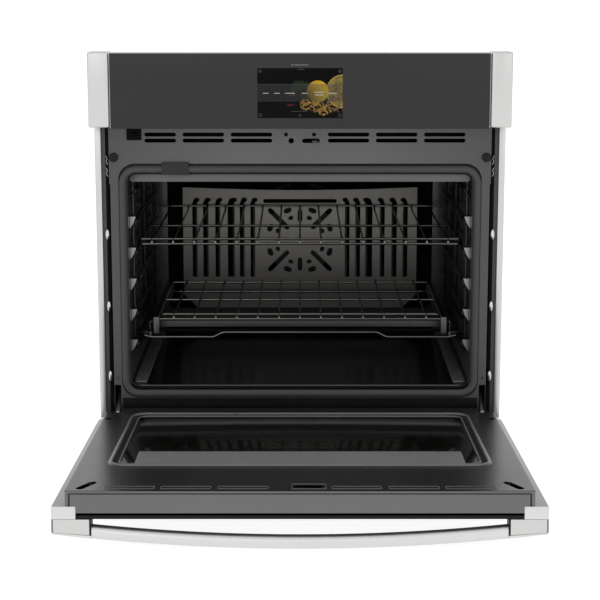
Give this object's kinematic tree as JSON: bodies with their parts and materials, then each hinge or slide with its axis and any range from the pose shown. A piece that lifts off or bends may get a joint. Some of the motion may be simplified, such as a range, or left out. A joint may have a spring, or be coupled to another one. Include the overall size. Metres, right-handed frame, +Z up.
{
  "type": "built-in electric wall oven",
  "caption": "Built-in electric wall oven, 30-inch class: glass touch control panel, drop-down door with bowed handle, sliding racks, rear convection fan, cooling blower and door latch.",
  "frame": {"origin": "centre of the base pan underside, which rests on the cabinet shelf", "axes": "+X to the right as seen from the front, +Y towards the rear (the door opens towards -Y), +Z up"},
  "size_m": [0.7556, 1.1538, 0.7325],
  "materials": {
    "brushed_stainless": "fine brushed, satin",
    "grey_enamel": "semi-gloss dark grey enamel",
    "cavity_enamel": "glossy speckled porcelain enamel",
    "galvanised_sheet": "dull spangled zinc",
    "black_paint": "satin black",
    "rack_wire": "bright plated wire",
    "black_glass": "dark back-printed glass",
    "pane_glass": "clear tinted heat-reflecting glass",
    "black_plastic": "moulded, matte",
    "circuit_board": "green laminate with parts",
    "heater_sheath": "oxidised heater sheath",
    "glass_wool": "fibre blanket",
    "gasket_braid": "woven glass braid",
    "motor_steel": "dark coated steel",
    "latch_steel": "bare steel",
    "lamp_glass": "moulded lens"
  },
  "bodies": {
    "root": {"end_cap_left": "brushed_stainless", "end_cap_right": "brushed_stainless", "side_trim_left": "brushed_stainless", "side_trim_right": "brushed_stainless", "lower_trim": "brushed_stainless", "temperature_sensor": "brushed_stainless", "front_frame": "grey_enamel", "rear_baffle": "grey_enamel", "cavity_liner": "cavity_enamel", "base_pan": "galvanised_sheet", "side_panel_left": "galvanised_sheet", "side_panel_right": "galvanised_sheet", "top_panel": "galvanised_sheet", "rear_panel": "galvanised_sheet", "conduit_gland": "galvanised_sheet", "panel_housing": "galvanised_sheet", "lamp_holder": "galvanised_sheet", "blower_housing": "galvanised_sheet", "mounting_trim_left": "black_paint", "mounting_trim_right": "black_paint", "rack_support_left": "rack_wire", "rack_support_right": "rack_wire", "glide_rack_base": "rack_wire", "control_glass": "black_glass", "display_module": "black_plastic", "door_bumper_left": "black_plastic", "door_bumper_right": "black_plastic", "latch_motor": "black_plastic", "door_switch": "black_plastic", "power_board": "circuit_board", "broil_element": "heater_sheath", "bake_element": "heater_sheath", "convection_element": "heater_sheath", "insulation_wrap": "glass_wool", "door_gasket": "gasket_braid", "fan_motor": "motor_steel", "blower_motor": "motor_steel", "hinge_arm_left": "latch_steel", "hinge_arm_right": "latch_steel", "lamp_lens": "lamp_glass"},
    "door": {"door_inner_panel": "grey_enamel", "window_glass_inner": "pane_glass", "window_pack_frame": "galvanised_sheet", "window_glass_middle": "pane_glass", "door_outer_glass": "black_glass", "door_column_left": "brushed_stainless", "door_column_right": "brushed_stainless", "handle_bar": "brushed_stainless", "handle_mount_left": "brushed_stainless", "handle_mount_right": "brushed_stainless", "hinge_channel_left": "galvanised_sheet", "hinge_channel_right": "galvanised_sheet"},
    "upper_rack": {"upper_rack": "rack_wire"},
    "glide_rack": {"glide_rack_top": "rack_wire"},
    "glide_members": {"glide_member_left": "brushed_stainless", "glide_member_right": "brushed_stainless"},
    "convection_fan": {"convection_fan": "galvanised_sheet"},
    "blower_wheel": {"blower_wheel": "galvanised_sheet"},
    "latch_hook": {"latch_hook": "latch_steel"},
    "switch_plunger": {"switch_plunger": "black_plastic"}
  },
  "joints": [
    {"name": "door_hinge", "type": "hinge", "parent": "root", "child": "door", "pos_m": [0, -0.3185, 0.06], "axis": [-1, 0, 0], "range_deg": [0, 87]},
    {"name": "upper_rack_slide", "type": "slide", "parent": "root", "child": "upper_rack", "axis": [0, 1, 0], "range_m": [-0.28, 0]},
    {"name": "glide_rack_slide", "type": "slide", "parent": "root", "child": "glide_rack", "axis": [0, 1, 0], "range_m": [-0.33, 0]},
    {"name": "glide_member_slide", "type": "slide", "parent": "root", "child": "glide_members", "axis": [0, 1, 0], "range_m": [-0.165, 0]},
    {"name": "convection_fan_spin", "type": "hinge", "parent": "root", "child": "convection_fan", "pos_m": [0, 0.198, 0.304], "axis": [0, 1, 0], "continuous": true},
    {"name": "blower_wheel_spin", "type": "hinge", "parent": "root", "child": "blower_wheel", "pos_m": [0, 0.1115, 0.6185], "axis": [0, 0, 1], "continuous": true},
    {"name": "latch_hook_turn", "type": "hinge", "parent": "root", "child": "latch_hook", "pos_m": [0.025, -0.2735, 0.5695], "axis": [0, 0, 1], "range_deg": [0, 10]},
    {"name": "switch_plunger_press", "type": "slide", "parent": "root", "child": "switch_plunger", "axis": [0, 1, 0], "range_m": [0, 0.004], "stiffness_N_per_m": 300, "springref_m": -0.001}
  ],
  "couplings": [
    {"joint": "glide_member_slide", "follows": "glide_rack_slide", "ratio": 0.5}
  ]
}
